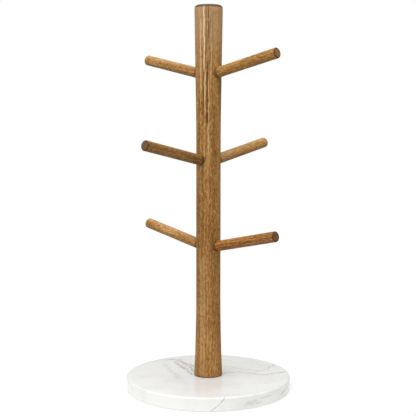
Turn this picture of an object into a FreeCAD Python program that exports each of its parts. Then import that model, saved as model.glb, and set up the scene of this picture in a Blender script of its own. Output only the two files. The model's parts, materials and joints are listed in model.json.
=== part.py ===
import FreeCAD, Part
import math
import os
import re

import Sketcher

# A mug tree: a turned wooden post on a round stone base, with six pegs in three crossed pairs.
# Millimetres, +Z up. The origin is on the table, under the middle of the base. The upper and
# lower pegs point along X, the middle pegs along Y.

# driving sizes, in mm and degrees: alias, value, what it is
SIZES = [
    ("total_height", 370.0, "table to the top of the post"),
    ("base_diameter", 160.0, "stone base"),
    ("base_thickness", 12.5, "stone base"),
    ("base_top_round", 2.0, "polished round of the base's upper edge"),
    ("base_bottom_round", 1.0, "round of the base's lower edge"),
    ("pad_diameter", 14.0, "rubber pad under the base"),
    ("pad_thickness", 1.0, "rubber pad, and so the base's height off the table"),
    ("pad_edge_round", 0.3, "round of the pad's lower edge"),
    ("pad_inset", 18.0, "base's edge in to a pad's centre"),
    ("foot_diameter", 27.5, "post where it stands on the base"),
    ("foot_flare", 81.5, "height over which the post narrows from its foot to its waist"),
    ("foot_chamfer", 0.5, "bevel round the post's foot"),
    ("waist_diameter", 23.5, "the post's straight middle"),
    ("top_diameter", 27.0, "post at its top, before the edge is rounded"),
    ("top_flare", 113.0, "length of the taper from the top down to the waist"),
    ("taper_blend", 12.5, "how far the bend from waist to taper reaches each way"),
    ("top_round", 3.5, "round of the post's upper edge"),
    ("first_peg_drop", 66.2, "top of the post down to where the upper pegs' axes cross its axis"),
    ("peg_spacing", 82.5, "height between one pair of pegs and the next"),
    ("peg_diameter", 10.0, "peg, outside the post"),
    ("peg_rise", 12.0, "angle of a peg above level"),
    ("peg_reach", 85.8, "post axis to a peg's tip, along the peg"),
    ("peg_tip_round", 1.2, "round of a peg's tip"),
    ("shoulder_step", 0.2, "peg's glued end, the tenon, is this much thinner on the radius"),
    ("tenon_chamfer", 0.5, "bevel of the tenon's end"),
    ("shoulder_gap", 0.1, "peg's shoulder to the nearest part of the post"),
    ("socket_start", 2.6, "post axis to a socket's floor, along the peg"),
    ("glue_gap", 0.05, "glue all round a tenon, on the radius"),
    ("socket_end_gap", 0.3, "glue between a tenon's end and the socket's floor"),
    ("bolt_diameter", 6.0, "bolt that holds the post to the base"),
    ("bolt_length", 25.0, "bolt, under its head"),
    ("bolt_chamfer", 0.8, "bevel of the bolt's end"),
    ("head_diameter", 10.5, "domed head of the bolt"),
    ("head_height", 3.3, "domed head of the bolt"),
    ("head_round", 2.5, "dome of the head, as a round of its edge"),
    ("hex_width", 4.0, "hex socket, across its flats"),
    ("hex_depth", 2.0, "hex socket"),
    ("bolt_hole_gap", 0.5, "bolt to its hole through the base, on the radius"),
    ("recess_gap", 1.0, "flat washer to the wall of its recess under the base"),
    ("head_inset", 0.5, "bolt's head above the underside of the base"),
    ("washer_diameter", 18.0, "flat washer"),
    ("washer_bore_gap", 0.2, "bolt to the bore of either washer, on the radius"),
    ("washer_thickness", 1.6, "flat washer"),
    ("lock_diameter", 11.0, "split lock washer"),
    ("lock_thickness", 1.6, "split lock washer"),
    ("lock_slit", 1.5, "split lock washer"),
    ("insert_diameter", 10.0, "threaded insert in the post's foot"),
    ("insert_length", 18.0, "threaded insert"),
    ("insert_depth", 0.5, "insert's lower end above the post's foot"),
    ("thread_gap", 0.05, "all round the bolt and the insert, on the radius"),
]

# the pegs: name, which pair from the top, and the way the peg points, in degrees from +X
PEGS = [
    ("upper_right_peg", 0, 0),
    ("upper_left_peg", 0, 180),
    ("middle_front_peg", 1, 270),
    ("middle_back_peg", 1, 90),
    ("lower_right_peg", 2, 0),
    ("lower_left_peg", 2, 180),
]
PEG_PAIRS = 3

# the pads: name, and the way from the middle of the base
PADS = [
    ("front_right_pad", 315),
    ("front_left_pad", 225),
    ("back_left_pad", 135),
    ("back_right_pad", 45),
]

BASE_TOP = "(pad_thickness + base_thickness)"
POST_LENGTH = "(total_height - pad_thickness - base_thickness)"
TENON_DIAMETER = "(peg_diameter - 2 * shoulder_step)"
HEAD_BOTTOM = "(pad_thickness + head_inset)"
LOCK_BOTTOM = f"({HEAD_BOTTOM} + head_height)"
WASHER_BOTTOM = f"({LOCK_BOTTOM} + lock_thickness)"
RECESS_DEPTH = "(head_inset + head_height + lock_thickness + washer_thickness)"
WASHER_BORE = "(bolt_diameter + 2 * washer_bore_gap)"
# the bolt's end above the base
BOLT_REACH = f"({LOCK_BOTTOM} + bolt_length - {BASE_TOP})"
SHEET_NAME = "Sizes"
SAME = 1e-4

doc = FreeCAD.newDocument("mug_tree")
sheet = doc.addObject("Spreadsheet::Sheet", SHEET_NAME)


def fill_sheet():
    for row, (alias, number, note) in enumerate(SIZES, start=1):
        sheet.set(f"A{row}", alias)
        sheet.set(f"B{row}", str(number))
        sheet.set(f"C{row}", note)
        sheet.setAlias(f"B{row}", alias)
    doc.recompute()


def bound(expression):
    # every alias has an underscore in it, and nothing else in an expression does
    return re.sub(r"\b([a-z]+(?:_[a-z]+)+)\b", SHEET_NAME + r".\1", expression)


def value(expression):
    return float(sheet.evalExpression(bound(expression)))


def bind(thing, **properties):
    # a double underscore stands for the dot in a property's path
    for path, expression in properties.items():
        thing.setExpression(path.replace("__", "."), bound(expression))


def new_body(name):
    body = doc.addObject("PartDesign::Body", name)
    body.Label = name
    return body


def new_sketch(body, name, plane):
    sketch = body.newObject("Sketcher::SketchObject", name)
    origin = next(item for item in body.Origin.OriginFeatures if item.Role == plane)
    sketch.AttachmentSupport = (origin, "")
    sketch.MapMode = "FlatFace"
    return sketch


def place_point(geometry, end, x, y):
    # the constraints that hold a point at its distances from the sketch's origin, each with
    # the expression that gives it
    held = []
    for kind, axis, expression in (("DistanceX", -2, x), ("DistanceY", -1, y)):
        if expression == "0":
            held.append((Sketcher.Constraint("PointOnObject", geometry, end, axis), None))
        else:
            size = Sketcher.Constraint(kind, -1, 1, geometry, end, value(expression))
            held.append((size, expression))
    return held


def constrain(sketch, held):
    # all at once, because half a set of constraints lets the solver pull an outline out of shape
    sketch.addConstraint([constraint for constraint, _ in held])
    for index, (_, expression) in enumerate(held):
        if expression:
            sketch.setExpression(f"Constraints[{index}]", bound(expression))


def arc_beside_vertical(touching, far):
    # the arc that leaves the point "touching" straight up or down and ends at the point "far"
    across = far.x - touching.x
    along = far.y - touching.y
    radius = (across**2 + along**2) / (2 * across)
    half = math.atan2(along / radius, 1 - across / radius) / 2
    middle = FreeCAD.Vector(
        touching.x + radius * (1 - math.cos(half)), touching.y + radius * math.sin(half), 0
    )
    # a sketch takes its arcs anticlockwise
    anticlockwise = (middle - touching).cross(far - middle).z > 0
    first, last = (touching, far) if anticlockwise else (far, touching)
    return Part.Arc(first, middle, last)


def draw_outline(sketch, corners, arcs=()):
    # a closed outline through corners given as pairs of expressions; each arc is the pair of
    # its first corner and the corner where it runs on from a vertical line
    points = [FreeCAD.Vector(value(x), value(y), 0) for x, y in corners]
    arc_at = dict(arcs)
    count = len(points)
    ends = []
    for index, start in enumerate(points):
        finish = points[(index + 1) % count]
        if index in arc_at:
            touching = points[arc_at[index]]
            far = finish if touching is start else start
            curve = arc_beside_vertical(touching, far)
        else:
            curve = Part.LineSegment(start, finish)
        geometry = sketch.addGeometry(curve, False)
        drawn = sketch.Geometry[geometry]
        runs_forward = drawn.StartPoint.distanceToPoint(start) < SAME
        ends.append((1, 2) if runs_forward else (2, 1))
    held = []
    for index, (x, y) in enumerate(corners):
        before = (index - 1) % count
        joint = Sketcher.Constraint("Coincident", before, ends[before][1], index, ends[index][0])
        held.append((joint, None))
        held += place_point(index, ends[index][0], x, y)
    for arc, touching in arc_at.items():
        # an arc runs on from a vertical line where its centre is level with their meeting
        level = Sketcher.Constraint("Horizontal", arc, 3, touching, ends[touching][0])
        held.append((level, None))
    constrain(sketch, held)


def draw_circle(sketch, diameter):
    radius = value(diameter) / 2
    circle = Part.Circle(FreeCAD.Vector(), FreeCAD.Vector(0, 0, 1), radius)
    geometry = sketch.addGeometry(circle, False)
    centred = Sketcher.Constraint("Coincident", geometry, 3, -1, 1)
    size = Sketcher.Constraint("Diameter", geometry, 2 * radius)
    constrain(sketch, [(centred, None), (size, diameter)])


def turn(body, corners, arcs=()):
    # a solid turned about the body's Z axis, from its outline in X and Z
    sketch = new_sketch(body, body.Label + "_outline", "XZ_Plane")
    draw_outline(sketch, corners, arcs)
    turned = body.newObject("PartDesign::Revolution", body.Label + "_turned")
    turned.Profile = sketch
    turned.ReferenceAxis = (sketch, ["V_Axis"])
    turned.Angle = 360
    doc.recompute()
    return turned


def pad_disc(body, diameter, thickness):
    sketch = new_sketch(body, body.Label + "_outline", "XY_Plane")
    draw_circle(sketch, diameter)
    disc = body.newObject("PartDesign::Pad", body.Label + "_disc")
    disc.Profile = sketch
    bind(disc, Length=thickness)
    doc.recompute()
    return disc


def ring_edges(feature, diameter, height):
    # names of the feature's round edges of this size at this height
    names = []
    for index, edge in enumerate(feature.Shape.Edges, start=1):
        curve = edge.Curve
        if not isinstance(curve, Part.Circle):
            continue
        same_size = abs(2 * curve.Radius - value(diameter)) < SAME
        if same_size and abs(curve.Center.z - value(height)) < SAME:
            names.append(f"Edge{index}")
    if not names:
        raise RuntimeError(f"{feature.Label} has no edge of {diameter} at {height}")
    return names


def dress(kind, body, feature, diameter, height, size):
    # a fillet or a chamfer on one round edge
    dressed = body.newObject("PartDesign::" + kind, f"{body.Label}_{kind.lower()}")
    dressed.Base = (feature, ring_edges(feature, diameter, height))
    if kind == "Fillet":
        bind(dressed, Radius=size)
    else:
        bind(dressed, Size=size)
    doc.recompute()
    return dressed


def cut(body, sketch, name, length):
    # a pocket that goes the way its sketch faces
    before = body.Tip.Shape.Volume
    pocket = body.newObject("PartDesign::Pocket", name)
    pocket.Profile = sketch
    pocket.Reversed = True
    bind(pocket, Length=length)
    doc.recompute()
    if pocket.Shape.Volume >= before - SAME:
        raise RuntimeError(f"{name} cuts nothing")
    return pocket


def make_base():
    body = new_body("marble_base")
    disc = pad_disc(body, "base_diameter", "base_thickness")
    upper = dress("Fillet", body, disc, "base_diameter", "base_thickness", "base_top_round")
    lower = dress("Fillet", body, upper, "base_diameter", "0", "base_bottom_round")
    middle = new_sketch(body, "bolt_hole_middle", "XY_Plane")
    draw_circle(middle, "bolt_diameter + 2 * bolt_hole_gap")
    doc.recompute()
    hole = body.newObject("PartDesign::Hole", "bolt_hole_and_recess")
    hole.Profile = middle
    hole.Reversed = True
    hole.DepthType = "ThroughAll"
    hole.HoleCutType = "Counterbore"
    bind(
        hole,
        Diameter="bolt_diameter + 2 * bolt_hole_gap",
        HoleCutDiameter="washer_diameter + 2 * recess_gap",
        HoleCutDepth=RECESS_DEPTH,
    )
    doc.recompute()
    if hole.Shape.Volume >= lower.Shape.Volume - SAME:
        raise RuntimeError("the base has no bolt hole")
    bind(body, Placement__Base__z="pad_thickness")


def pair_drop(pair):
    # the post's top down to where this pair's axes cross the post's axis
    return f"(first_peg_drop + {pair} * peg_spacing)"


def post_radius(pair):
    # the post's radius one peg's thickness above the crossing of this pair, which is the
    # widest that the post gets beside a peg's root
    drop = f"({pair_drop(pair)} - peg_diameter)"
    narrowing = f"(top_diameter - waist_diameter) * {drop} / top_flare"
    upper = f"max(waist_diameter; top_diameter - {narrowing})"
    into_flare = f"max(0; foot_flare - {POST_LENGTH} + {pair_drop(pair)}) / foot_flare"
    lower = f"(foot_diameter - waist_diameter) * ({into_flare})^2"
    return f"(({upper} + {lower}) / 2)"


def shoulder_start(pair):
    # post axis to a peg's shoulder, along the peg
    return f"(({post_radius(pair)} + peg_diameter / 2 * sin(peg_rise)) / cos(peg_rise) + shoulder_gap)"


def make_post():
    body = new_body("post")
    taper = "atan((top_diameter - waist_diameter) / 2 / top_flare)"
    bend = f"({POST_LENGTH} - top_flare)"
    corners = [
        ("0", "0"),
        ("foot_diameter / 2", "0"),
        ("waist_diameter / 2", "foot_flare"),
        ("waist_diameter / 2", f"{bend} - taper_blend"),
        (
            f"waist_diameter / 2 + taper_blend * sin({taper})",
            f"{bend} + taper_blend * cos({taper})",
        ),
        ("top_diameter / 2", POST_LENGTH),
        ("0", POST_LENGTH),
    ]
    # the foot's flare runs into the waist, and the waist into the bend
    turned = turn(body, corners, arcs=((1, 2), (3, 3)))
    rounded = dress("Fillet", body, turned, "top_diameter", POST_LENGTH, "top_round")
    dress("Chamfer", body, rounded, "foot_diameter", "0", "foot_chamfer")
    bore = new_sketch(body, "insert_bore_middle", "XY_Plane")
    draw_circle(bore, "insert_diameter + 2 * thread_gap")
    # deep enough for the insert and for the bolt's end
    depth = f"max(insert_length + insert_depth; {BOLT_REACH}) + insert_depth"
    cut(body, bore, "insert_bore", depth)
    for pair in range(PEG_PAIRS):
        cut_socket_pair(body, pair)
    bind(body, Placement__Base__z=BASE_TOP)


def cut_socket_pair(body, pair):
    # a round socket that rises out of the post, and the same one on the post's other side
    plane = "XZ_Plane" if pair % 2 else "YZ_Plane"
    sketch = new_sketch(body, f"socket_{pair + 1}_floor", plane)
    draw_circle(sketch, f"{TENON_DIAMETER} + 2 * glue_gap")
    tilt = FreeCAD.Rotation(FreeCAD.Vector(-1, 0, 0), value("peg_rise"))
    sketch.AttachmentOffset = FreeCAD.Placement(FreeCAD.Vector(), tilt)
    bind(
        sketch,
        AttachmentOffset__Base__y=(
            f"{POST_LENGTH} - {pair_drop(pair)} + socket_start * sin(peg_rise)"
        ),
        AttachmentOffset__Base__z="socket_start * cos(peg_rise)",
        AttachmentOffset__Rotation__Angle="peg_rise",
    )
    socket = cut(body, sketch, f"socket_{pair + 1}", f"{shoulder_start(pair)} + peg_diameter")
    pattern = body.newObject("PartDesign::PolarPattern", f"sockets_{pair + 1}")
    pattern.Originals = [socket]
    axis = next(item for item in body.Origin.OriginFeatures if item.Role == "Z_Axis")
    pattern.Axis = (axis, [""])
    pattern.Angle = 360
    pattern.Occurrences = 2
    body.Tip = pattern
    doc.recompute()


def make_peg(name, pair, heading):
    # turned about Z, from the post's axis outwards, then laid along its own axis
    body = new_body(name)
    shoulder = shoulder_start(pair)
    start = "(socket_start + socket_end_gap)"
    corners = [
        ("0", start),
        (f"{TENON_DIAMETER} / 2", start),
        (f"{TENON_DIAMETER} / 2", shoulder),
        ("peg_diameter / 2", shoulder),
        ("peg_diameter / 2", "peg_reach"),
        ("0", "peg_reach"),
    ]
    turned = turn(body, corners)
    rounded = dress("Fillet", body, turned, "peg_diameter", "peg_reach", "peg_tip_round")
    dress("Chamfer", body, rounded, TENON_DIAMETER, start, "tenon_chamfer")
    way = math.radians(heading)
    across = FreeCAD.Vector(-math.sin(way), math.cos(way), 0)
    tilt = FreeCAD.Rotation(across, 90 - value("peg_rise"))
    body.Placement = FreeCAD.Placement(FreeCAD.Vector(), tilt)
    bind(
        body,
        Placement__Base__z=f"total_height - {pair_drop(pair)}",
        Placement__Rotation__Angle="90 - peg_rise",
    )


def make_pad(name, heading):
    body = new_body(name)
    disc = pad_disc(body, "pad_diameter", "pad_thickness")
    dress("Fillet", body, disc, "pad_diameter", "0", "pad_edge_round")
    bind(
        body,
        Placement__Base__x=f"(base_diameter / 2 - pad_inset) * cos({heading})",
        Placement__Base__y=f"(base_diameter / 2 - pad_inset) * sin({heading})",
    )


def ring_corners(outer, bore, thickness):
    return [
        (f"{bore} / 2", "0"),
        (f"{outer} / 2", "0"),
        (f"{outer} / 2", thickness),
        (f"{bore} / 2", thickness),
    ]


def make_washer():
    body = new_body("flat_washer")
    turn(body, ring_corners("washer_diameter", WASHER_BORE, "washer_thickness"))
    bind(body, Placement__Base__z=WASHER_BOTTOM)


def make_lock_washer():
    # a spring ring with one slit, drawn pressed flat as it is under the tightened bolt
    body = new_body("lock_washer")
    turn(body, ring_corners("lock_diameter", WASHER_BORE, "lock_thickness"))
    slit = new_sketch(body, "lock_washer_slit_outline", "YZ_Plane")
    # the slit's foot is a whole slit below the ring, so that the cut runs right through
    corners = [
        ("0 - lock_slit / 2", "0 - lock_slit"),
        ("lock_slit / 2", "0 - lock_slit"),
        ("lock_slit / 2", "lock_thickness + lock_slit"),
        ("0 - lock_slit / 2", "lock_thickness + lock_slit"),
    ]
    draw_outline(slit, corners)
    cut(body, slit, "lock_washer_slit", "lock_diameter")
    bind(body, Placement__Base__z=LOCK_BOTTOM)


def make_bolt():
    # stands on its own head, which is at Z = 0 and has its dome and hex socket underneath
    body = new_body("base_bolt")
    tip = "(head_height + bolt_length)"
    corners = [
        ("0", "0"),
        ("head_diameter / 2", "0"),
        ("head_diameter / 2", "head_height"),
        ("bolt_diameter / 2", "head_height"),
        ("bolt_diameter / 2", tip),
        ("0", tip),
    ]
    turned = turn(body, corners)
    domed = dress("Fillet", body, turned, "head_diameter", "0", "head_round")
    dress("Chamfer", body, domed, "bolt_diameter", tip, "bolt_chamfer")
    hexagon = new_sketch(body, "hex_socket_outline", "XY_Plane")
    corner_radius = "hex_width / 2 / cos(30)"
    corners = [
        (f"{corner_radius} * cos({60 * side + 30})", f"{corner_radius} * sin({60 * side + 30})")
        for side in range(6)
    ]
    draw_outline(hexagon, corners)
    cut(body, hexagon, "hex_socket", "hex_depth")
    bind(body, Placement__Base__z=HEAD_BOTTOM)


def make_insert():
    body = new_body("threaded_insert")
    bore = "(bolt_diameter + 2 * thread_gap)"
    turn(body, ring_corners("insert_diameter", bore, "insert_length"))
    bind(body, Placement__Base__z=f"{BASE_TOP} + insert_depth")


def check_document():
    for item in doc.Objects:
        if "Invalid" in item.State or "Error" in item.State:
            raise RuntimeError(f"{item.Label} failed: {item.State}")


def export_bodies():
    os.makedirs("parts", exist_ok=True)
    for body in doc.Objects:
        if not body.isDerivedFrom("PartDesign::Body"):
            continue
        shape = body.Shape
        if shape.isNull() or not shape.isValid() or len(shape.Solids) != 1:
            raise RuntimeError(f"{body.Label} is not one sound solid")
        shape.exportStep(f"parts/{body.Label}.step")
        box = shape.optimalBoundingBox()
        print(f"{body.Label:18s} {shape.Volume:10.1f} mm3, from z {box.ZMin:7.3f} to {box.ZMax:7.3f}")


fill_sheet()
make_base()
make_post()
for peg in PEGS:
    make_peg(*peg)
make_insert()
make_bolt()
make_washer()
make_lock_washer()
for pad in PADS:
    make_pad(*pad)
doc.recompute()
check_document()
export_bodies()
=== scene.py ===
import bmesh
import bpy
import json
from math import cos, pi, radians, sin, sqrt
from mathutils import Matrix, Vector


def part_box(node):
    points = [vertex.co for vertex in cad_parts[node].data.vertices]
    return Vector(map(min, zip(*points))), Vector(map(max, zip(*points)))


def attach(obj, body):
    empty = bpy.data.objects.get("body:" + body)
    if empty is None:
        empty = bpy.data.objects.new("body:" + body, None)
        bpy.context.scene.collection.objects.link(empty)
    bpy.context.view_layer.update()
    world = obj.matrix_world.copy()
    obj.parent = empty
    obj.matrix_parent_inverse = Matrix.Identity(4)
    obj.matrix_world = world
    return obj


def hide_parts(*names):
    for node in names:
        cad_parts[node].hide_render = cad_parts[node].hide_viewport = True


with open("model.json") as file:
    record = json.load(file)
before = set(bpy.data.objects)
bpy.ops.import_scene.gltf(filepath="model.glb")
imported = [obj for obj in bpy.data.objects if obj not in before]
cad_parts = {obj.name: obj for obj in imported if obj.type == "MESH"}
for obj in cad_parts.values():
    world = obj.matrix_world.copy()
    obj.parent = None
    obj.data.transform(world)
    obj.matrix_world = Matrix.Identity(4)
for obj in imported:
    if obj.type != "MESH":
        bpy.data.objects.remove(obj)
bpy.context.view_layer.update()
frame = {"nodes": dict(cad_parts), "record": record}
mm = 0.001
bodyName = "root"
sharpAngle = 35        # degrees; an edge that turns by more than this stays crisp
mounts = {mount["name"]: mount for mount in frame["record"]["mounts"]}


def addChain(bm, points, closed=False):
    # a profile in X and Z, as a line of vertices
    verts = [bm.verts.new((radius, 0, height)) for radius, height in points]
    for first, second in zip(verts, verts[1:]):
        bm.edges.new((first, second))
    if closed:
        bm.edges.new((verts[-1], verts[0]))
    return verts


def spinRound(bm, segments):
    # a full turn about Z, with the seam and the poles closed
    bmesh.ops.spin(
        bm, geom=bm.verts[:] + bm.edges[:], axis=(0, 0, 1), cent=(0, 0, 0),
        angle=2 * pi, steps=segments, use_merge=True)
    bmesh.ops.remove_doubles(bm, verts=bm.verts[:], dist=1e-7)
    bmesh.ops.recalc_face_normals(bm, faces=bm.faces[:])


def turnSolid(points, segments, closed=False):
    bm = bmesh.new()
    addChain(bm, points, closed)
    spinRound(bm, segments)
    return bm


def bevelRing(bm, radius, height, width, segments):
    # rounds the ring of edges that has this radius and height
    near = 0.002 * mm
    ring = []
    for edge in bm.edges:
        onRing = all(
            abs(sqrt(v.co.x ** 2 + v.co.y ** 2) - radius) < near and abs(v.co.z - height) < near
            for v in edge.verts)
        if onRing:
            ring.append(edge)
    bmesh.ops.bevel(
        bm, geom=ring, offset=width, offset_type="OFFSET", affect="EDGES",
        segments=segments, profile=0.5, material=-1, clamp_overlap=True)


def toObject(bm, name, place=None):
    if place is not None:
        bmesh.ops.transform(bm, matrix=place, verts=bm.verts[:])
    mesh = bpy.data.meshes.new(name)
    bm.to_mesh(mesh)
    bm.free()
    mesh.shade_smooth()
    mesh.set_sharp_from_angle(angle=radians(sharpAngle))
    piece = bpy.data.objects.new(name, mesh)
    bpy.context.scene.collection.objects.link(piece)
    return piece


def carvePiece(piece, helpers, operation="DIFFERENCE"):
    # the helpers shape the piece by Boolean, and are then thrown away
    for helper in helpers:
        carve = piece.modifiers.new("carve", "BOOLEAN")
        carve.operation = operation
        carve.solver = "EXACT"
        carve.object = helper
    bpy.context.view_layer.update()
    evaluated = piece.evaluated_get(bpy.context.evaluated_depsgraph_get())
    carved = bpy.data.meshes.new_from_object(evaluated)
    piece.modifiers.clear()
    piece.data = carved
    for helper in helpers:
        bpy.data.objects.remove(helper)
    carved.shade_smooth()
    carved.set_sharp_from_angle(angle=radians(sharpAngle))


def finishPiece(piece, material, slotName, *nodes):
    piece.data.materials.clear()
    piece.data.materials.append(material)
    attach(piece, bodyName)
    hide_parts(*nodes)


def newMaterial(name):
    material = bpy.data.materials.new(name)
    material.use_nodes = True
    tree = material.node_tree
    return material, tree, tree.nodes["Principled BSDF"]


def plug(tree, socket, value):
    if isinstance(value, bpy.types.NodeSocket):
        tree.links.new(value, socket)
    else:
        socket.default_value = value


def addNode(tree, kind, inputs=None, **settings):
    node = tree.nodes.new(kind)
    for key, value in settings.items():
        setattr(node, key, value)
    for key, value in (inputs or {}).items():
        plug(tree, node.inputs[key], value)
    return node


def maths(tree, operation, first, second=0.0):
    return addNode(tree, "ShaderNodeMath", {0: first, 1: second}, operation=operation).outputs[0]


def vectorMaths(tree, operation, first, second):
    return addNode(tree, "ShaderNodeVectorMath", {0: first, 1: second}, operation=operation).outputs


def lengthOf(tree, vector):
    return addNode(tree, "ShaderNodeVectorMath", {0: vector}, operation="LENGTH").outputs["Value"]


def stretch(tree, vector, scale):
    return vectorMaths(tree, "MULTIPLY", vector, scale)[0]


def colourNoise(tree, vector, scale, detail, roughness=0.5):
    return addNode(tree, "ShaderNodeTexNoise", {
        "Vector": vector, "Scale": scale, "Detail": detail, "Roughness": roughness}).outputs["Color"]


def noise(tree, vector, scale, detail=2.0, roughness=0.5):
    return addNode(tree, "ShaderNodeTexNoise", {
        "Vector": vector, "Scale": scale, "Detail": detail, "Roughness": roughness}).outputs["Fac"]


def noiseAlong(tree, distance, scale, shift, detail=2.0, roughness=0.5):
    # noise along one number, such as a radius or a height
    spot = maths(tree, "MULTIPLY_ADD", distance, scale)
    spot.node.inputs[2].default_value = shift
    return addNode(tree, "ShaderNodeTexNoise", {
        "W": spot, "Scale": 1.0, "Detail": detail, "Roughness": roughness},
        noise_dimensions="1D").outputs["Fac"]


def remap(tree, value, fromLow, fromHigh, toLow=0.0, toHigh=1.0):
    return addNode(tree, "ShaderNodeMapRange", {
        "Value": value, "From Min": fromLow, "From Max": fromHigh,
        "To Min": toLow, "To Max": toHigh}, interpolation_type="SMOOTHSTEP").outputs["Result"]


def blend(tree, factor, first, second, kind="MIX"):
    node = addNode(tree, "ShaderNodeMix", data_type="RGBA", blend_type=kind)
    plug(tree, node.inputs["Factor"], factor)
    plug(tree, node.inputs[6], first)
    plug(tree, node.inputs[7], second)
    return node.outputs[2]


def share(tree, field, weight):
    # how far a 0 to 1 field is from its middle, times a weight
    return maths(tree, "MULTIPLY", maths(tree, "SUBTRACT", field, 0.5), weight)


def wander(tree, vector, field, reach):
    # moves each point by a colour noise, as far as reach says in each direction
    return addNode(tree, "ShaderNodeVectorMath", {0: field, 1: reach, 2: vector},
                   operation="MULTIPLY_ADD").outputs[0]


def colourRamp(tree, factor, stops):
    node = addNode(tree, "ShaderNodeValToRGB", {"Fac": factor})
    ramp = node.color_ramp
    while len(ramp.elements) < len(stops):
        ramp.elements.new(0.5)
    for element, (position, colour) in zip(ramp.elements, stops):
        element.position = position
        element.color = colour
    return node.outputs["Color"]


def tint(red, green, blue):
    # a colour as it looks on screen, 0 to 255, turned into light
    def linear(channel):
        level = channel / 255
        return level / 12.92 if level <= 0.04045 else ((level + 0.055) / 1.055) ** 2.4
    return (linear(red), linear(green), linear(blue), 1.0)


def bumpFrom(tree, shader, height, strength, distance):
    node = addNode(tree, "ShaderNodeBump", {
        "Height": height, "Strength": strength, "Distance": distance})
    tree.links.new(node.outputs["Normal"], shader.inputs["Normal"])


def localMillimetres(tree, centre=(0, 0, 0), turn=(0, 0, 0)):
    # the piece's own coordinates in millimetres, with Z along its grain or its axis
    coordinates = addNode(tree, "ShaderNodeTexCoord")
    return addNode(tree, "ShaderNodeMapping", {
        "Vector": coordinates.outputs["Object"], "Location": centre, "Rotation": turn,
        "Scale": (mm, mm, mm)}, vector_type="TEXTURE").outputs["Vector"]


woodLook = {
    "pale": tint(196, 154, 96),
    "middle": tint(158, 113, 55),
    "deep": tint(112, 70, 24),
    "pore": tint(84, 50, 18),
    "streakDark": tint(66, 32, 8),
    "streakPale": tint(236, 204, 160),
    "endGrain": tint(112, 80, 50),
    # oil with painted shade, for the darker rounded rims of cut ends
    "endRimOilAndShade": tint(56, 30, 16),
    # oil with painted shade, for the gaps where pieces meet
    "joint": tint(70, 40, 18),
    # painted light, for the paler top of the post
    "paintedTopLight": tint(192, 160, 122),
    "roughness": 0.5,
    "gloss": 0.24,
    "bump": 0.3,
    "bumpDepth": 0.2 * mm,
    # how much each layer of the figure counts
    "fleckWeight": 1.15,
    "fibreWeight": 0.36,
    "bandWeight": 0.5,
    "cloudWeight": 0.4,
    "poreWeight": 0.5,
    "endGrainWeight": 0.7,
    "endRimOilAndShadeWeight": 0.85,
    # noise frequencies per millimetre, across the grain and along it
    "bandsPerMillimetre": 0.42,
    "swayScale": (0.04, 0.04, 0.014),
    "leanScale": (0.16, 0.16, 0.09),
    "fleckScale": (1.0, 1.0, 0.25),
    "fibreScale": (2.6, 2.6, 0.09),
    "cloudScale": (0.1, 0.1, 0.02),
    "poreScale": (1.5, 1.5, 0.3),
    "swayReach": (5.0, 5.0, 0.0),        # millimetres
    "leanReach": (4.5, 4.5, 0.0),
}


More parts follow.
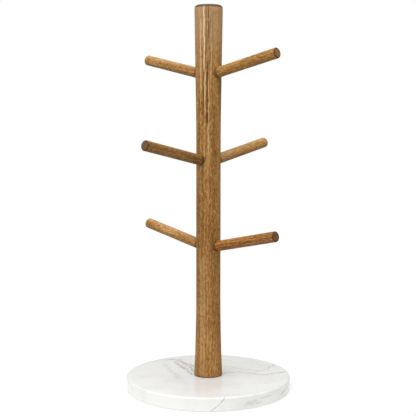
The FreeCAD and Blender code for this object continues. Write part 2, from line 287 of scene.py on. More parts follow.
def makeWood(name, centre, turn, pith, seed, tone, rimStart, addMarks):
    # solid timber: growth rings round a pith beside the piece, long fibres and short dark flecks
    material, tree, shader = newMaterial(name)
    place = localMillimetres(tree, centre, turn)
    shifted = vectorMaths(tree, "ADD", place, (seed * 37.0, seed * 11.0, seed * 53.0))[0]

    # the fibres wander a little, slowly along the length
    sway = colourNoise(tree, stretch(tree, shifted, woodLook["swayScale"]), 1.0, 2.0)
    swayed = wander(tree, place, sway, woodLook["swayReach"])
    parts = addNode(tree, "ShaderNodeSeparateXYZ", {0: swayed})
    across = maths(tree, "SUBTRACT", parts.outputs["X"], pith[0])
    aside = maths(tree, "SUBTRACT", parts.outputs["Y"], pith[1])
    fromPith = maths(tree, "SQRT", maths(
        tree, "ADD", maths(tree, "MULTIPLY", across, across), maths(tree, "MULTIPLY", aside, aside)))
    bands = noiseAlong(tree, fromPith, woodLook["bandsPerMillimetre"], seed * 5.0, 3.0, 0.6)

    # short flecks lean this way and that
    lean = colourNoise(tree, stretch(tree, shifted, woodLook["leanScale"]), 1.0, 2.0)
    leaning = wander(tree, shifted, lean, woodLook["leanReach"])
    fleck = noise(tree, stretch(tree, leaning, woodLook["fleckScale"]), 1.0, 3.0, 0.62)
    fibre = noise(tree, stretch(tree, shifted, woodLook["fibreScale"]), 1.0, 3.0, 0.6)
    cloud = noise(tree, stretch(tree, shifted, woodLook["cloudScale"]), 1.0, 2.0)
    poreField = noise(tree, stretch(tree, leaning, woodLook["poreScale"]), 1.0, 1.5)
    poreMask = remap(tree, poreField, 0.62, 0.72)

    mixture = maths(tree, "ADD", 0.5, share(tree, fleck, woodLook["fleckWeight"]))
    for field, weight in ((fibre, "fibreWeight"), (bands, "bandWeight"), (cloud, "cloudWeight")):
        mixture = maths(tree, "ADD", mixture, share(tree, field, woodLook[weight]))
    colour = colourRamp(tree, mixture, [
        (0.26, woodLook["deep"]), (0.5, woodLook["middle"]), (0.76, woodLook["pale"])])
    pores = maths(tree, "MULTIPLY", poreMask, woodLook["poreWeight"])
    colour = blend(tree, pores, colour, woodLook["pore"])
    colour = addMarks(tree, place, colour)

    # cut ends are duller, and their rounded rims are darker: they have drunk more oil, and carry painted
    # shade along the edge
    facing = addNode(tree, "ShaderNodeMapping", {
        "Vector": addNode(tree, "ShaderNodeTexCoord").outputs["Normal"], "Rotation": turn},
        vector_type="TEXTURE").outputs["Vector"]
    endwise = maths(tree, "ABSOLUTE", addNode(tree, "ShaderNodeSeparateXYZ", {0: facing}).outputs["Z"])
    cutEnd = maths(tree, "MULTIPLY", remap(tree, endwise, 0.9, 0.99), woodLook["endGrainWeight"])
    colour = blend(tree, cutEnd, colour, woodLook["endGrain"])
    rim = maths(tree, "MULTIPLY", remap(tree, endwise, rimStart, rimStart + 0.3),
                remap(tree, endwise, 0.965, 0.999, 1.0, 0.0))
    rim = maths(tree, "MULTIPLY", rim, woodLook["endRimOilAndShadeWeight"])
    colour = blend(tree, rim, colour, woodLook["endRimOilAndShade"])
    colour = blend(tree, 1.0, colour, (*tone, 1.0), "MULTIPLY")
    tree.links.new(colour, shader.inputs["Base Color"])

    rough = remap(tree, fibre, 0.3, 0.7, woodLook["roughness"] - 0.06, woodLook["roughness"] + 0.1)
    tree.links.new(rough, shader.inputs["Roughness"])
    shader.inputs["Specular IOR Level"].default_value = woodLook["gloss"]
    grooves = maths(tree, "SUBTRACT", fibre, maths(tree, "MULTIPLY", poreMask, 0.8))
    bumpFrom(tree, shader, grooves, woodLook["bump"], woodLook["bumpDepth"])
    return material


postShape = {
    "waistRadius": 11.75 * mm,
    "footFlare": 81.5 * mm,
    "topFlare": 113.0 * mm,
    "taperBlend": 12.5 * mm,
    "topRadius": 13.5 * mm,
    "footRadius": 13.75 * mm,
    "topRound": 3.5 * mm,
    "footBevel": 0.5 * mm,
    "boreRadius": 5.05 * mm,
    "boreDepth": 19.0 * mm,
    "ringStep": 2.5 * mm,
    "around": 144,
    # painted shade, a darker tint for the lower post
    "paintedFootShade": (0.78, 0.73, 0.64, 1.0),
    "tone": (1.12, 1.12, 1.12),
    "pith": (52.0, 12.0),        # millimetres from the post's axis to the middle of the tree
    "rimStart": 0.08,            # how far a face leans towards the end before its rim darkens, 0 to 1
    "meanRadius": 12.6,          # millimetres, turns a streak's heading into a distance round the post
    "streakWobble": 1.6,         # millimetres
    "streakFade": 5,             # millimetres, half the length over which a streak's end fades
    "paintedTopLightFrom": (305, 350),    # millimetres up, where the painted paler top sets in, standing in for the brighter light and sheen there
    "shadeFrom": (110, 270),     # and where the painted shade of the foot ends
    "jointStart": 5.0,           # millimetres from a peg's axis, the oil mark and painted shade of the gap round it
    "jointRing": 5.6,
    # heading in degrees, width, lowest and highest point in millimetres, how strong, pale or dark
    "streaks": [
        (-66.2, 1.1, 308, 371, 0.9, "streakPale"),
        (-62.6, 0.9, 268, 308, 0.75, "streakPale"),
        (-56.5, 1.0, 322, 368, 0.65, "streakDark"),
        (-48.0, 0.9, 334, 370, 0.8, "streakDark"),
        (-40.8, 0.7, 312, 357, 0.7, "streakDark"),
        (-36.5, 0.7, 300, 345, 0.5, "streakPale"),
        (-52.3, 1.7, 258, 316, 0.85, "streakDark"),
        (-70.6, 0.8, 262, 312, 0.8, "streakDark"),
        (-58.0, 1.0, 222, 268, 0.7, "streakDark"),
        (-46.0, 0.7, 228, 300, 0.45, "streakPale"),
        (-82.0, 1.0, 290, 356, 0.5, "streakPale"),
        (-92.0, 0.9, 240, 340, 0.5, "streakDark"),
        (15.0, 1.2, 262, 300, 0.6, "streakDark"),
        # painted highlight: this wide, faint pale band brightens the lower post's left side, where the
        # light from the left and front falls
        (-74.0, 6.0, 14, 130, 0.18, "streakPale"),
    ],
}


def postRadius(height, bottom, top):
    # flared foot, straight waist, and a straight taper above it with a soft bend between
    shape = postShape
    flareEnd = bottom + shape["footFlare"]
    bend = top - shape["topFlare"]
    slope = (shape["topRadius"] - shape["waistRadius"]) / shape["topFlare"]
    if height < flareEnd:
        down = (flareEnd - height) / shape["footFlare"]
        return shape["waistRadius"] + (shape["footRadius"] - shape["waistRadius"]) * down ** 2
    if height < bend - shape["taperBlend"]:
        return shape["waistRadius"]
    if height < bend + shape["taperBlend"]:
        into = height - (bend - shape["taperBlend"])
        return shape["waistRadius"] + slope * into ** 2 / (4 * shape["taperBlend"])
    return shape["waistRadius"] + slope * (height - bend)


def markPost(pegs):
    def addMarks(tree, place, colour):
        shape = postShape
        parts = addNode(tree, "ShaderNodeSeparateXYZ", {0: place})
        up = parts.outputs["Z"]
        heading = maths(tree, "ARCTAN2", parts.outputs["Y"], parts.outputs["X"])
        # painted light: the wood is paler and greyer towards the top, where more light and sheen fall
        colour = blend(tree, remap(tree, up, *shape["paintedTopLightFrom"], 0.0, 0.4), colour, woodLook["paintedTopLight"])
        fade = shape["streakFade"]
        for index, (degrees, width, lowest, highest, strength, paint) in enumerate(shape["streaks"]):
            wobble = share(tree, noiseAlong(tree, up, 0.05, index * 7.3, 3.0), shape["streakWobble"])
            turned = maths(tree, "MULTIPLY", maths(tree, "SUBTRACT", heading, radians(degrees)),
                           shape["meanRadius"])
            away = maths(tree, "ABSOLUTE", maths(tree, "ADD", turned, wobble))
            line = remap(tree, away, width * 0.2, width * 0.7, 1.0, 0.0)
            broken = remap(tree, noiseAlong(tree, up, 0.11, index * 3.1, 3.0, 0.65), 0.22, 0.44)
            ends = maths(tree, "MULTIPLY", remap(tree, up, lowest - fade, lowest + fade),
                         remap(tree, up, highest - fade, highest + fade, 1.0, 0.0))
            mask = maths(tree, "MULTIPLY", maths(tree, "MULTIPLY", line, ends), broken)
            colour = blend(tree, maths(tree, "MULTIPLY", mask, strength), colour, woodLook[paint])
        # painted shade: the post is darkened towards its foot, offsetting the light the base throws up
        # onto it
        shaded = blend(tree, 1.0, colour, shape["paintedFootShade"], "MULTIPLY")
        colour = blend(tree, remap(tree, up, *shape["shadeFrom"], 1.0, 0.0), colour, shaded)
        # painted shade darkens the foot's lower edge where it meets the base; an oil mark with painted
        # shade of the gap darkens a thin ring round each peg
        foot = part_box("post")[0].z / mm
        colour = blend(tree, remap(tree, up, foot + 0.3, foot + 1.2, 0.8, 0.0), colour, woodLook["joint"])
        for peg in pegs:
            start = tuple(peg["start"] / mm)
            outward = vectorMaths(tree, "SUBTRACT", place, start)[0]
            crossing = vectorMaths(tree, "CROSS_PRODUCT", outward, tuple(peg["way"]))[0]
            away = lengthOf(tree, crossing)
            ahead = vectorMaths(tree, "DOT_PRODUCT", outward, tuple(peg["way"]))[1]
            oilAndShadeMask = remap(tree, away, shape["jointStart"], shape["jointRing"], 0.6, 0.0)
            ring = maths(tree, "MULTIPLY", oilAndShadeMask, remap(tree, ahead, 3.0, 5.0))
            colour = blend(tree, ring, colour, woodLook["joint"])
        return colour
    return addMarks


def makePost(pegs):
    shape = postShape
    low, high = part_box("post")
    bottom, top = low.z, high.z
    plain = top - bottom - 2 * shape["topRound"]        # the side, short of the rounded top
    rings = round(plain / shape["ringStep"])
    outline = [(0, bottom + shape["boreDepth"]), (shape["boreRadius"], bottom + shape["boreDepth"]),
               (shape["boreRadius"], bottom), (shape["footRadius"], bottom)]
    for step in range(1, rings + 1):
        height = bottom + plain * step / rings
        outline.append((postRadius(height, bottom, top), height))
    outline += [(shape["topRadius"], top), (shape["topRadius"] * 0.5, top), (0, top)]
    bm = turnSolid(outline, shape["around"])
    bevelRing(bm, shape["topRadius"], top, shape["topRound"], 10)
    bevelRing(bm, shape["footRadius"], bottom, shape["footBevel"], 3)
    post = toObject(bm, "turnedPost")
    carvePiece(post, [makeSocketCutter(peg) for peg in pegs])
    wood = makeWood("postWood", (0, 0, 0), (0, 0, 0), shape["pith"], 1.0, shape["tone"],
                    shape["rimStart"], markPost(pegs))
    finishPiece(post, wood, "wood", "post")


pegShape = {
    "tipRound": 1.2 * mm,
    "shoulderStep": 0.2 * mm,
    "tenonBevel": 0.5 * mm,
    "tenonEnd": 2.9 * mm,
    "glueGap": 0.05 * mm,
    "endGap": 0.3 * mm,
    "around": 64,
    "steps": 24,             # rings of faces along the plain part
    "rimStart": 0.25,
    "pithAway": 26.0,        # millimetres
    "socketClear": 8 * mm,   # how far the socket's cutter runs past the shoulder
    # painted sheen: the pegs' wood is paler and less saturated, standing in for their whitish highlights
    "tone": (1.1, 1.14, 1.26),
    # painted light and shade: the upper right peg is paler where more light falls, the middle front and
    # lower right pegs are darker as painted shadow, and the lower right one is also redder
    "litAndShadedPegTones": {
        "upper_right_peg": (1.2, 1.22, 1.3),
        "middle_front_peg": (0.8, 0.82, 0.84),
        "lower_right_peg": (0.9, 0.78, 0.66),
    },
}


def readPeg(node):
    # a peg's own axis and lengths, measured out from the post's axis
    mount = mounts[node + "_hook"]
    middle = Vector(mount["pos_m"])
    way = Vector(mount["axis"])
    half = mount["dims"]["length_mm"] * mm / 2
    level = sqrt(way.x ** 2 + way.y ** 2)
    fromAxis = sqrt(middle.x ** 2 + middle.y ** 2) / level
    turn = way.to_track_quat("Z", "Y").to_euler()
    radius = mount["dims"]["r_mm"] * mm
    start = middle - way * fromAxis
    return {
        "node": node,
        "start": start,
        "way": way,
        "turn": turn,
        "radius": radius,
        "tenonRadius": radius - pegShape["shoulderStep"],
        "shoulder": fromAxis - half,
        "tip": fromAxis + half + pegShape["tipRound"],
        "place": Matrix.Translation(start) @ turn.to_matrix().to_4x4(),
    }


def makeSocketCutter(peg):
    radius = peg["tenonRadius"] + pegShape["glueGap"]
    floor = pegShape["tenonEnd"] - pegShape["endGap"]
    outside = peg["shoulder"] + pegShape["socketClear"]
    bm = turnSolid([(0, floor), (radius, floor), (radius, outside), (0, outside)], pegShape["around"])
    return toObject(bm, "socketCutter", peg["place"])


def markPeg(peg):
    def addMarks(tree, place, colour):
        # a dark line where the peg leaves the post: oil, and painted shade of the gap
        along = addNode(tree, "ShaderNodeSeparateXYZ", {0: place}).outputs["Z"]
        root = peg["shoulder"] / mm
        # painted shade with oil, just past the shoulder
        line = remap(tree, along, root + 0.2, root + 1.0, 0.6, 0.0)
        return blend(tree, line, colour, woodLook["joint"])
    return addMarks


def makePeg(peg, index):
    steps = pegShape["steps"]
    end = pegShape["tenonEnd"]
    outline = [(0, end), (peg["tenonRadius"], end), (peg["tenonRadius"], peg["shoulder"]),
               (peg["radius"], peg["shoulder"])]
    plain = peg["tip"] - 2 * pegShape["tipRound"] - peg["shoulder"]
    for step in range(1, steps + 1):
        outline.append((peg["radius"], peg["shoulder"] + plain * step / steps))
    outline += [(peg["radius"], peg["tip"]), (peg["radius"] * 0.5, peg["tip"]), (0, peg["tip"])]
    bm = turnSolid(outline, pegShape["around"])
    bevelRing(bm, peg["radius"], peg["tip"], pegShape["tipRound"], 6)
    bevelRing(bm, peg["tenonRadius"], end, pegShape["tenonBevel"], 2)
    piece = toObject(bm, "turned_" + peg["node"], peg["place"])
    side = radians(60 * index + 20)
    pith = (pegShape["pithAway"] * cos(side), pegShape["pithAway"] * sin(side))
    # each peg's painted light or shade, or the common tone
    tone = pegShape["litAndShadedPegTones"].get(peg["node"], pegShape["tone"])
    wood = makeWood(peg["node"] + "Wood", peg["start"], peg["turn"], pith, 2.0 + index, tone,
                    pegShape["rimStart"], markPeg(peg))
    finishPiece(piece, wood, "wood", peg["node"])


baseShape = {
    "around": 224,
    "topRound": 2.0 * mm,
    "bottomRound": 1.0 * mm,
    "holeRadius": 3.5 * mm,
    "recessRadius": 10.0 * mm,
    "recessDepth": 7.0 * mm,
    "recessBevel": 0.4 * mm,
}

marbleLook = {
    "body": tint(229, 229, 226),
    "cloud": tint(221, 221, 218),
    "vein": tint(134, 112, 108),
    "faintVein": tint(196, 192, 190),
    "roughness": 0.07,
    "veinLean": 0.7,         # how far a vein shifts sideways for each millimetre down
    "wallWaver": 3.0,        # millimetres
    "seedStep": 4.7,         # sets each run's waver apart from the last one's
    "raggedReach": (9.0, 9.0, 0.0),        # millimetres
    "warpReach": (34.0, 34.0, 20.0),
    # the points a vein runs through in millimetres from the middle, its width, its waver, how dark
    "veins": [
        ([(-69, 12), (-60, 26)], 1.8, 2.5, 0.6),
        ([(-70, 16), (-57, 17), (-39, 15), (-24, 10)], 2.0, 2.5, 0.55),
        ([(-56, 9), (-38, 3), (-23, -4), (-11, -12)], 2.1, 2.5, 0.65),
        ([(-62, 22), (-46, 13), (-34, 9), (-18, 0)], 1.7, 3.0, 0.5),
        ([(-44, 20), (-28, 6), (-14, -4)], 1.5, 2.5, 0.45),
        ([(-58, 15), (-36, 10), (-18, 0)], 7.0, 4.0, 0.13),
        ([(-60, 14), (-42, 6), (-26, -2)], 5.0, 5.0, 0.14),
        ([(-26, -18), (2, -36), (20, -50)], 4.0, 7.0, 0.08),
        ([(-60, -1), (-28, -20), (-8, -32)], 4.5, 6.0, 0.2),
        ([(6, 11), (17, 29), (41, 35), (50, 60)], 1.1, 1.2, 0.95),
        ([(-11, 33), (6, 38), (28, 43), (30, 55), (22, 77)], 1.0, 1.5, 0.6),
        ([(-30, 50), (-8, 55), (8, 72)], 1.0, 4.0, 0.35),
        ([(40, -10), (60, 12), (66, 40)], 1.0, 5.0, 0.12),
    ],
    # the same down the wall: heading in degrees and height of both ends, width, how dark
    "wallVeins": [
        ((-45, 0), (-36, 12.5), 0.8, 0.6),
        ((-23, 4), (-13, 7), 3.0, 0.3),
        ((-18, 3), (-9, 4), 1.4, 0.3),
        ((-10, 8), (0, 7), 2.0, 0.28),
        ((12, 5), (28, 9.5), 2.8, 0.35),
        ((60, 12), (78, 0), 1.0, 0.4),
        ((150, 2), (166, 12), 1.2, 0.4),
        ((-140, 12), (-118, 3), 1.0, 0.25),
    ],
}


def makeBase():
    shape = baseShape
    low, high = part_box("marble_base")
    bottom, top = low.z, high.z
    radius = round(max(high.x, high.y) / mm) * mm
    ceiling = bottom + shape["recessDepth"]
    bm = turnSolid([
        (shape["holeRadius"], top), (radius * 0.5, top), (radius, top), (radius, bottom),
        (shape["recessRadius"], bottom), (shape["recessRadius"], ceiling),
        (shape["holeRadius"], ceiling)], shape["around"], closed=True)
    bevelRing(bm, radius, top, shape["topRound"], 8)
    bevelRing(bm, radius, bottom, shape["bottomRound"], 5)
    bevelRing(bm, shape["recessRadius"], bottom, shape["recessBevel"], 2)
    finishPiece(toObject(bm, "marbleDisc"), makeMarble(radius / mm), "marble", "marble_base")


def veinRun(tree, place, start, end, width, waver, seed, fade):
    # one straight run of a vein, 0 to 1, which wavers as it goes and leans as it goes down
    run = Vector(end) - Vector(start)
    turn = (0, 0, Vector((1, 0)).angle_signed(run) * -1)
    mapping = addNode(tree, "ShaderNodeMapping", {
        "Vector": place, "Location": (start[0], start[1], 0), "Rotation": turn}, vector_type="TEXTURE")
    parts = addNode(tree, "ShaderNodeSeparateXYZ", {0: mapping.outputs["Vector"]})
    wobble = share(tree, noiseAlong(tree, parts.outputs["X"], 0.07, seed, 4.0, 0.55), waver)
    lean = maths(tree, "MULTIPLY", parts.outputs["Z"], marbleLook["veinLean"])
    offset = maths(tree, "ADD", wobble, lean)
    away = maths(tree, "ABSOLUTE", maths(tree, "SUBTRACT", parts.outputs["Y"], offset))
    line = remap(tree, away, 0.0, width, 1.0, 0.0)
    inside = maths(tree, "MULTIPLY", remap(tree, parts.outputs["X"], -fade, fade),
                   remap(tree, parts.outputs["X"], run.length - fade, run.length + fade, 1.0, 0.0))
    return maths(tree, "MULTIPLY", line, inside)


def makeMarble(radius):
    material, tree, shader = newMaterial("polishedMarble")
    low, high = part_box("marble_base")
    place = localMillimetres(tree, (0, 0, high.z))
    ragged = colourNoise(tree, place, 0.12, 4.0, 0.6)
    centred = vectorMaths(tree, "SUBTRACT", ragged, (0.5, 0.5, 0.5))[0]
    near = wander(tree, place, centred, marbleLook["raggedReach"])
    warp = colourNoise(tree, place, 0.02, 4.0, 0.6)
    warped = wander(tree, place, warp, marbleLook["warpReach"])
    cloud = noise(tree, warped, 0.03, 5.0, 0.6)
    ridge = maths(tree, "ABSOLUTE", share(tree, noise(tree, warped, 0.024, 3.0), 1.0))
    patchy = remap(tree, noise(tree, place, 0.03), 0.45, 0.62)

    colour = blend(tree, remap(tree, cloud, 0.4, 0.7), marbleLook["body"], marbleLook["cloud"])
    faint = maths(tree, "MULTIPLY", remap(tree, ridge, 0.0, 0.015, 1.0, 0.0), patchy)
    colour = blend(tree, maths(tree, "MULTIPLY", faint, 0.25), colour, marbleLook["faintVein"])
    texture = remap(tree, noise(tree, near, 0.22, 4.0, 0.6), 0.3, 0.62, 0.35, 1.0)
    seed = 0.0
    for points, width, waver, strength in marbleLook["veins"]:
        for start, end in zip(points, points[1:]):
            run = veinRun(tree, near, start, end, width, waver, seed, 2.5)
            dark = maths(tree, "MULTIPLY", maths(tree, "MULTIPLY", run, texture), strength)
            colour = blend(tree, dark, colour, marbleLook["vein"])
            seed += marbleLook["seedStep"]

    # the wall unrolled: how far round in millimetres, and how high above the base's underside
    parts = addNode(tree, "ShaderNodeSeparateXYZ", {0: place})
    heading = maths(tree, "ARCTAN2", parts.outputs["Y"], parts.outputs["X"])
    height = maths(tree, "ADD", parts.outputs["Z"], (high.z - low.z) / mm)
    wall = addNode(tree, "ShaderNodeCombineXYZ", {0: maths(tree, "MULTIPLY", heading, radius), 1: height})
    fromMiddle = maths(tree, "SQRT", maths(
        tree, "ADD", maths(tree, "MULTIPLY", parts.outputs["X"], parts.outputs["X"]),
        maths(tree, "MULTIPLY", parts.outputs["Y"], parts.outputs["Y"])))
    onWall = remap(tree, fromMiddle, radius - 2.5, radius - 0.8)
    for (fromTurn, fromHeight), (toTurn, toHeight), width, strength in marbleLook["wallVeins"]:
        start = (radians(fromTurn) * radius, fromHeight)
        end = (radians(toTurn) * radius, toHeight)
        run = veinRun(tree, wall.outputs[0], start, end, width, marbleLook["wallWaver"], seed, 2.0)
        dark = maths(tree, "MULTIPLY", maths(tree, "MULTIPLY", run, onWall), strength)
        colour = blend(tree, maths(tree, "MULTIPLY", dark, texture), colour, marbleLook["vein"])
        seed += marbleLook["seedStep"]
    tree.links.new(colour, shader.inputs["Base Color"])

    rough = remap(tree, noise(tree, place, 0.2, 3.0), 0.3, 0.7,
                  marbleLook["roughness"] - 0.02, marbleLook["roughness"] + 0.04)
    tree.links.new(rough, shader.inputs["Roughness"])
    shader.inputs["Specular IOR Level"].default_value = 0.5
    bumpFrom(tree, shader, noise(tree, place, 1.5, 3.0), 0.04, 0.0001)
    return material


lightSet = {
    "floorSize": 0.15,           # metres, its radius
    "floorColour": 0.84,
    "floorGlow": 0.06,
    "panelGlow": 0.32,           # the lit panel just under the base
    "panelRadius": 0.0805,
    "backdrop": 1.0,             # what the camera sees behind the piece
    "ambient": 0.5,
    "backShare": 0.4,            # what is left of the ambient light behind the piece
    "lowShare": 0.6,             # and of all the soft light below it
    "frontFill": 0.62,
    "fillRise": 0.55,
    "fillAside": 0.45,
    "keyPower": 2.2,             # watts
    "topPower": 24.0,
    "keyAway": 1.0,              # metres, to the front, to the left and up
    "keySize": 1.0,
    "keyTarget": 0.2,
    "topHeight": 1.6,
    "topSize": 1.6,
}

cameraSet = {
    "around": 43.0,              # degrees
    "distance": 0.9177,          # metres
    "height": 0.2632,
    "pitch": 5.35,               # degrees, looking down
    "turnLeft": 0.03,
    "roll": -0.06,
    "lens": 82.72,               # millimetres, on a 36 mm sensor
}


def makeMetal(name, look, seed):
    # plated metal: a faint grain, small scuffs and a slow change of shade
    material, tree, shader = newMaterial(name)
    place = localMillimetres(tree, (seed, seed * 2, 0))
    grain = noise(tree, stretch(tree, place, (3.0, 3.0, 9.0)), 1.0, 3.0, 0.6)
    cloud = noise(tree, place, 0.35, 3.0)
    scuff = remap(tree, noise(tree, place, 1.7, 4.0, 0.65), 0.55, 0.7)
    colour = blend(tree, remap(tree, cloud, 0.3, 0.7), look["colour"], look["shade"])
    colour = blend(tree, maths(tree, "MULTIPLY", scuff, 0.35), colour, look["scuff"])
    tree.links.new(colour, shader.inputs["Base Color"])
    shader.inputs["Metallic"].default_value = 1.0
    rough = remap(tree, grain, 0.3, 0.7, look["roughness"] - 0.08, look["roughness"] + 0.12)
    tree.links.new(rough, shader.inputs["Roughness"])
    bumpFrom(tree, shader, grain, 0.12, 0.00005)
    return material


hardwareShape = {
    "around": 96,
    "shankRadius": 3.0 * mm,
    "shankRoot": 2.45 * mm,
    "pitch": 1.0 * mm,
    "crestFrom": 0.42,               # the flat crest, as shares of the pitch
    "crestTo": 0.58,
    "boltAround": 48,
    "insertAround": 64,
    "insertLead": 0.5 * mm,
    "boltChamfer": 0.8 * mm,
    "headRadius": 5.25 * mm,
    "headHeight": 3.3 * mm,
    "headRound": 2.5 * mm,
    "hexCorner": 2.3094 * mm,        # from the middle to a corner, for a 4 mm key
    "hexDepth": 2.0 * mm,
    "washerBore": 3.2 * mm,
    "washerRadius": 9.0 * mm,
    "lockRadius": 5.5 * mm,
    "lockSlit": 1.5 * mm,
    "washerBevel": 0.2 * mm,
    "insertRadius": 5.0 * mm,
    "insertRoot": 4.3 * mm,
    "insertPitch": 2.5 * mm,
    "insertBore": 3.05 * mm,
}

steelLook = {
    "colour": tint(176, 178, 180),
    "shade": tint(152, 154, 158),
    "scuff": tint(120, 122, 126),
    "roughness": 0.32,
}

brassLook = {
    "colour": tint(196, 160, 92),
    "shade": tint(176, 138, 70),
    "scuff": tint(130, 98, 48),
    "roughness": 0.36,
}

padLook = {
    "colour": tint(58, 58, 58),
    "shade": tint(44, 44, 45),
    "roughness": 0.7,
    "edge": 0.3 * mm,
}


def makeThread(crest, root, pitch, low, high, around):
    # one turn of a V profile, spun upwards turn after turn so that each turn joins the next
    bm = bmesh.new()
    turns = round((high - low) / pitch) + 3
    start = low - 1.5 * pitch
    addChain(bm, [(root, start), (crest, start + pitch * hardwareShape["crestFrom"]),
                  (crest, start + pitch * hardwareShape["crestTo"]), (root, start + pitch)])
    bmesh.ops.spin(
        bm, geom=bm.verts[:] + bm.edges[:], axis=(0, 0, 1), cent=(0, 0, 0), dvec=(0, 0, pitch / around),
        angle=2 * pi * turns, steps=around * turns, use_merge=False)
    bmesh.ops.remove_doubles(bm, verts=bm.verts[:], dist=2e-6)
    bmesh.ops.holes_fill(bm, edges=[edge for edge in bm.edges if edge.is_boundary], sides=0)
    bmesh.ops.recalc_face_normals(bm, faces=bm.faces[:])
    return toObject(bm, "thread")


def makeBolt(steel):
    shape = hardwareShape
    low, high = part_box("base_bolt")
    seat = low.z + shape["headHeight"]
    crest = shape["shankRadius"]
    bolt = makeThread(crest, shape["shankRoot"], shape["pitch"], seat, high.z, shape["boltAround"])
    # the envelope trims the thread to the shank's length and its chamfered end
    slim = crest - shape["boltChamfer"]
    envelope = toObject(turnSolid([
        (0, seat - 0.3 * mm), (crest * 1.1, seat - 0.3 * mm),
        (crest * 1.1, high.z - shape["boltChamfer"]),
        (crest, high.z - shape["boltChamfer"]), (slim, high.z), (0, high.z)], shape["boltAround"]),
        "envelope")
    carvePiece(bolt, [envelope], "INTERSECT")
    bm = turnSolid([(0, low.z), (shape["headRadius"], low.z), (shape["headRadius"], seat), (0, seat)],
                   shape["around"])
    bevelRing(bm, shape["headRadius"], low.z, shape["headRound"], 10)
    head = toObject(bm, "head")
    bm = bmesh.new()
    bmesh.ops.create_cone(
        bm, cap_ends=True, segments=6, radius1=shape["hexCorner"], radius2=shape["hexCorner"],
        depth=2 * shape["hexDepth"])
    hexagon = toObject(bm, "hexagon", Matrix.Translation((0, 0, low.z)))
    carvePiece(head, [hexagon])
    carvePiece(bolt, [head], "UNION")
    bolt.name = "buttonBolt"
    finishPiece(bolt, steel, "steel", "base_bolt")


def makeRing(name, node, outer, inner, bevel):
    low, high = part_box(node)
    bm = turnSolid([(inner, low.z), (outer, low.z), (outer, high.z), (inner, high.z)],
                   hardwareShape["around"], closed=True)
    for radius in (outer, inner):
        for height in (low.z, high.z):
            bevelRing(bm, radius, height, bevel, 2)
    return toObject(bm, name)


def makeWashers(steel):
    shape = hardwareShape
    flat = makeRing("flatWasher", "flat_washer", shape["washerRadius"], shape["washerBore"],
                    shape["washerBevel"])
    finishPiece(flat, steel, "steel", "flat_washer")
    lock = makeRing("lockWasher", "lock_washer", shape["lockRadius"], shape["washerBore"],
                    shape["washerBevel"])
    low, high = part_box("lock_washer")
    bm = bmesh.new()
    bmesh.ops.create_cube(bm, size=1.0)
    bmesh.ops.scale(bm, vec=(2 * shape["lockRadius"], shape["lockSlit"], 4 * (high.z - low.z)),
                    verts=bm.verts[:])
    slit = toObject(bm, "slit", Matrix.Translation((shape["lockRadius"], 0, low.z)))
    carvePiece(lock, [slit])
    finishPiece(lock, steel, "steel", "lock_washer")


def makeInsert(brass):
    shape = hardwareShape
    low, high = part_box("threaded_insert")
    crest = shape["insertRadius"]
    insert = makeThread(crest, shape["insertRoot"], shape["insertPitch"], low.z, high.z,
                        shape["insertAround"])
    slope = crest - shape["insertRoot"]
    envelope = toObject(turnSolid([
        (shape["insertBore"], low.z), (crest, low.z), (crest * 1.05, low.z + shape["insertLead"]),
        (crest * 1.05, high.z - slope), (shape["insertRoot"], high.z), (shape["insertBore"], high.z)],
        shape["insertAround"], closed=True), "envelope")
    carvePiece(insert, [envelope], "INTERSECT")
    insert.name = "threadedInsert"
    finishPiece(insert, brass, "brass", "threaded_insert")


def makePads():
    # small dark rubber discs stuck under the base
    material, tree, shader = newMaterial("softPad")
    place = localMillimetres(tree)
    cloud = noise(tree, place, 0.5, 3.0)
    speck = noise(tree, place, 4.0, 2.0)
    colour = blend(tree, remap(tree, cloud, 0.3, 0.7), padLook["colour"], padLook["shade"])
    tree.links.new(colour, shader.inputs["Base Color"])
    tree.links.new(remap(tree, speck, 0.3, 0.7, padLook["roughness"] - 0.1, padLook["roughness"] + 0.1),
                   shader.inputs["Roughness"])
    bumpFrom(tree, shader, speck, 0.1, 0.00005)
    for node in sorted(name for name in frame["nodes"] if name.endswith("_pad")):
        low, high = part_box(node)
        radius = round((high.x - low.x) / mm) / 2 * mm
        bm = turnSolid([(0, 0), (radius, 0), (radius, high.z - low.z), (0, high.z - low.z)],
                       hardwareShape["around"])
        bevelRing(bm, radius, 0, padLook["edge"], 3)
        middle = (low + high) / 2
        pad = toObject(bm, "soft_" + node, Matrix.Translation((middle.x, middle.y, low.z)))
        finishPiece(pad, material, "rubber", node)


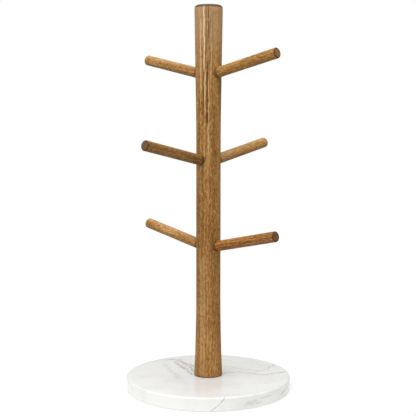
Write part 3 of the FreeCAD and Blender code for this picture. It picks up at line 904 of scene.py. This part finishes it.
def makeStage(towardCamera, rightward):
    bm = bmesh.new()
    bmesh.ops.create_circle(bm, cap_ends=True, segments=128, radius=lightSet["floorSize"])
    floor = toObject(bm, "paleFloor")
    material, tree, shader = newMaterial("paleFloorPaint")
    grey = lightSet["floorColour"]
    shader.inputs["Base Color"].default_value = (grey, grey, grey, 1)
    shader.inputs["Roughness"].default_value = 0.9
    shader.inputs["Specular IOR Level"].default_value = 0.1
    # a white table lit softly from below, with its panel under the base
    shader.inputs["Emission Color"].default_value = (1, 1, 1, 1)
    spot = addNode(tree, "ShaderNodeTexCoord").outputs["Object"]
    fromMiddle = lengthOf(tree, spot)
    panel = lightSet["panelRadius"]
    glow = remap(tree, fromMiddle, panel - 0.001, panel + 0.002,
                 lightSet["panelGlow"], lightSet["floorGlow"])
    tree.links.new(glow, shader.inputs["Emission Strength"])
    floor.data.materials.append(material)

    # a plain white backdrop, and soft light that comes mostly from the front and from above
    world = bpy.data.worlds.new("softStudio")
    bpy.context.scene.world = world
    world.use_nodes = True
    tree = world.node_tree
    backdrop = tree.nodes["Background"]
    backdrop.inputs["Color"].default_value = (1, 1, 1, 1)
    backdrop.inputs["Strength"].default_value = lightSet["backdrop"]
    outward = addNode(tree, "ShaderNodeTexCoord").outputs["Generated"]
    rise = Vector((0, 0, lightSet["fillRise"]))
    front = (towardCamera - rightward * lightSet["fillAside"] + rise).normalized()
    facing = vectorMaths(tree, "DOT_PRODUCT", outward, tuple(front))[1]
    fill = maths(tree, "MULTIPLY", maths(tree, "MAXIMUM", facing, 0.0), lightSet["frontFill"])
    level = addNode(tree, "ShaderNodeSeparateXYZ", {0: outward}).outputs["Z"]
    aboveFloor = remap(tree, level, -0.5, 0.05, lightSet["lowShare"], 1.0)
    # less light from behind the piece; a polished face still mirrors the whole room
    path = addNode(tree, "ShaderNodeLightPath").outputs
    ahead = vectorMaths(tree, "DOT_PRODUCT", outward, tuple(towardCamera))[1]
    missing = remap(tree, ahead, -0.4, 0.4, 1 - lightSet["backShare"], 0.0)
    dimmed = maths(tree, "SUBTRACT", 1.0, maths(tree, "MULTIPLY", path["Is Diffuse Ray"], missing))
    ambient = maths(tree, "MULTIPLY", dimmed, lightSet["ambient"])
    strength = maths(tree, "MULTIPLY", maths(tree, "ADD", fill, ambient), aboveFloor)
    soft = addNode(tree, "ShaderNodeBackground", {"Color": (1, 1, 1, 1), "Strength": strength})
    both = addNode(tree, "ShaderNodeMixShader", {
        0: path["Is Camera Ray"], 1: soft.outputs[0], 2: backdrop.outputs[0]})
    tree.links.new(both.outputs[0], tree.nodes["World Output"].inputs["Surface"])


def addSoftbox(name, place, target, size, power):
    light = bpy.data.lights.new(name, "AREA")
    light.shape = "SQUARE"
    light.size = size
    light.energy = power
    lamp = bpy.data.objects.new(name, light)
    lamp.location = place
    lamp.rotation_euler = (Vector(target) - Vector(place)).to_track_quat("-Z", "Y").to_euler()
    bpy.context.scene.collection.objects.link(lamp)


def makeCamera(towardCamera):
    data = bpy.data.cameras.new("productCamera")
    data.lens = cameraSet["lens"]
    data.sensor_width = 36
    data.clip_start = 0.01
    camera = bpy.data.objects.new("productCamera", data)
    camera.location = towardCamera * cameraSet["distance"] + Vector((0, 0, cameraSet["height"]))
    camera.rotation_euler = (
        radians(90 - cameraSet["pitch"]), radians(cameraSet["roll"]),
        radians(cameraSet["around"] + cameraSet["turnLeft"]))
    bpy.context.scene.collection.objects.link(camera)
    bpy.context.scene.camera = camera


def setUpStudio():
    way = radians(cameraSet["around"])
    rightward = Vector((cos(way), sin(way), 0))
    towardCamera = Vector((sin(way), -cos(way), 0))
    makeStage(towardCamera, rightward)
    makeCamera(towardCamera)
    away = lightSet["keyAway"]
    addSoftbox("keySoftbox", towardCamera * away - rightward * away + Vector((0, 0, away)),
               (0, 0, lightSet["keyTarget"]), lightSet["keySize"], lightSet["keyPower"])
    addSoftbox("topSoftbox", (0, 0, lightSet["topHeight"]), (0, 0, 0),
               lightSet["topSize"], lightSet["topPower"])


setUpStudio()
print("stage, light and camera are set")

pegNodes = sorted(name for name in frame["nodes"] if name.endswith("_peg"))
pegs = [readPeg(name) for name in pegNodes]
makePost(pegs)
print("post is turned and its sockets are drilled")
for index, peg in enumerate(pegs):
    makePeg(peg, index)
print("pegs are turned")
makeBase()
print("marble base is cut")
steel = makeMetal("platedSteel", steelLook, 3.0)
makeBolt(steel)
makeWashers(steel)
makeInsert(makeMetal("insertBrass", brassLook, 8.0))
makePads()
print("bolt, washers, insert and pads are made")

bpy.context.scene.view_settings.view_transform = "Standard"
